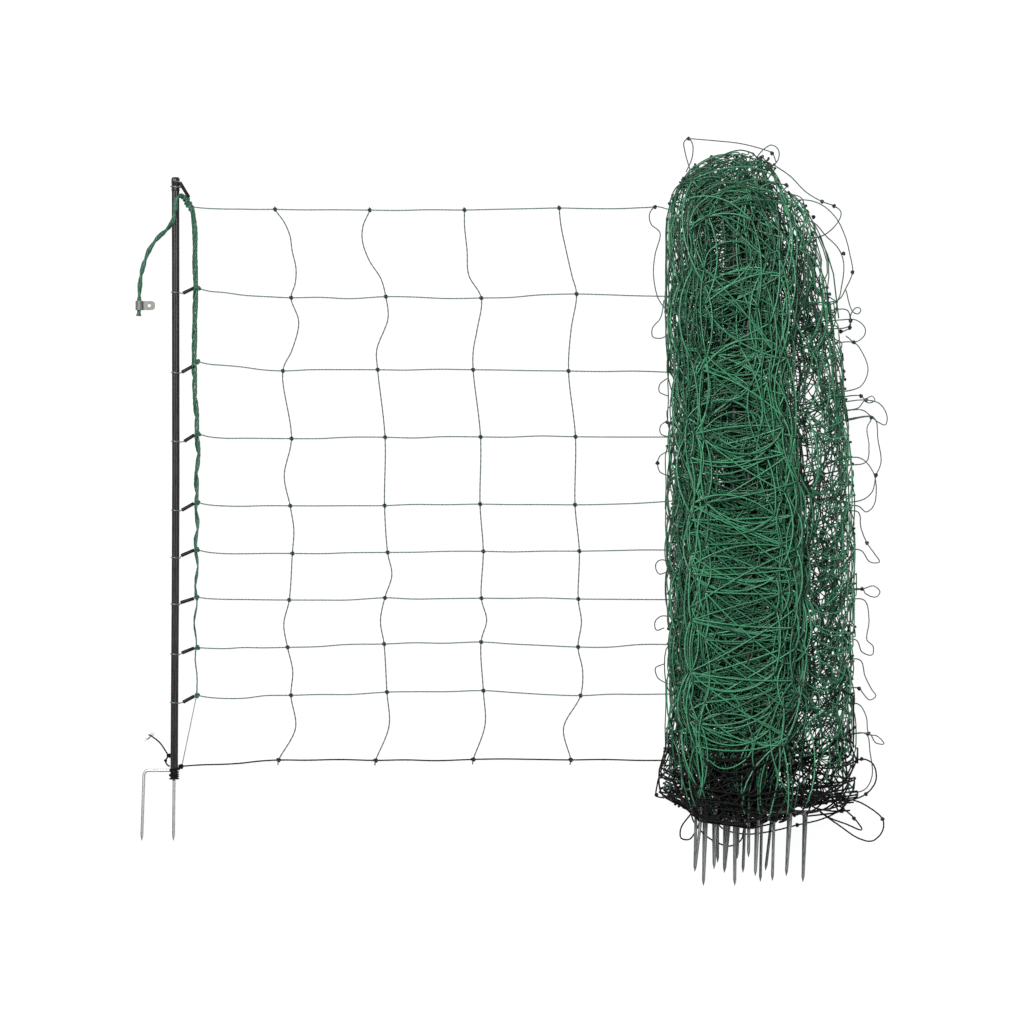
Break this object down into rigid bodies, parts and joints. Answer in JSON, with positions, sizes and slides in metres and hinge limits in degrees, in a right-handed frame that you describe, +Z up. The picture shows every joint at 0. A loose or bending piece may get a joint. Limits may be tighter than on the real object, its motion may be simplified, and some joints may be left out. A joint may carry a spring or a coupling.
{
  "type": "sheep netting",
  "caption": "Electrifiable sheep netting with its first cells drawn out from a spiked end post and the rest folded in a bundle with its posts.",
  "frame": {"origin": "centre of the footprint at floor level, measured without the connecting lead and the loose tail", "axes": "+Z up from the floor it lies on, +Y along the posts towards their capped tops, +X along the net towards the bundle"},
  "size_m": [1.1612, 1.165, 0.1501],
  "materials": {
    "green_twine": "satin",
    "black_plastic": "matte",
    "post_plastic": "satin",
    "galvanised_steel": "matte"
  },
  "bodies": {
    "root": {"live_line_01": "green_twine", "tie_sleeve_01": "black_plastic", "live_line_02": "green_twine", "tie_sleeve_02": "black_plastic", "live_line_03": "green_twine", "tie_sleeve_03": "black_plastic", "live_line_04": "green_twine", "tie_sleeve_04": "black_plastic", "live_line_05": "green_twine", "tie_sleeve_05": "black_plastic", "live_line_06": "green_twine", "tie_sleeve_06": "black_plastic", "live_line_07": "green_twine", "tie_sleeve_07": "black_plastic", "live_line_08": "green_twine", "tie_sleeve_08": "black_plastic", "live_line_09": "green_twine", "tie_sleeve_09": "black_plastic", "ground_line": "black_plastic", "stay_01": "green_twine", "stay_02": "green_twine", "stay_03": "green_twine", "stay_04": "green_twine", "end_post": "post_plastic", "end_spike": "galvanised_steel", "end_post_cap": "post_plastic", "edge_cord": "green_twine", "connecting_lead": "green_twine", "lead_lug": "galvanised_steel", "ground_line_tail": "black_plastic", "bundled_post_01": "post_plastic", "bundled_spike_01": "galvanised_steel", "bundled_post_02": "post_plastic", "bundled_spike_02": "galvanised_steel", "bundled_post_03": "post_plastic", "bundled_spike_03": "galvanised_steel", "bundled_post_04": "post_plastic", "bundled_spike_04": "galvanised_steel", "bundled_post_05": "post_plastic", "bundled_spike_05": "galvanised_steel", "bundled_post_06": "post_plastic", "bundled_spike_06": "galvanised_steel", "bundled_post_07": "post_plastic", "bundled_spike_07": "galvanised_steel", "bundled_post_08": "post_plastic", "bundled_spike_08": "galvanised_steel", "bundled_post_09": "post_plastic", "bundled_spike_09": "galvanised_steel", "bundled_post_10": "post_plastic", "bundled_spike_10": "galvanised_steel", "bundled_post_11": "post_plastic", "bundled_spike_11": "galvanised_steel", "bundled_post_12": "post_plastic", "bundled_spike_12": "galvanised_steel", "bundled_post_13": "post_plastic", "bundled_spike_13": "galvanised_steel", "bundled_net": "green_twine", "bundled_ground_line": "black_plastic"}
  },
  "joints": []
}
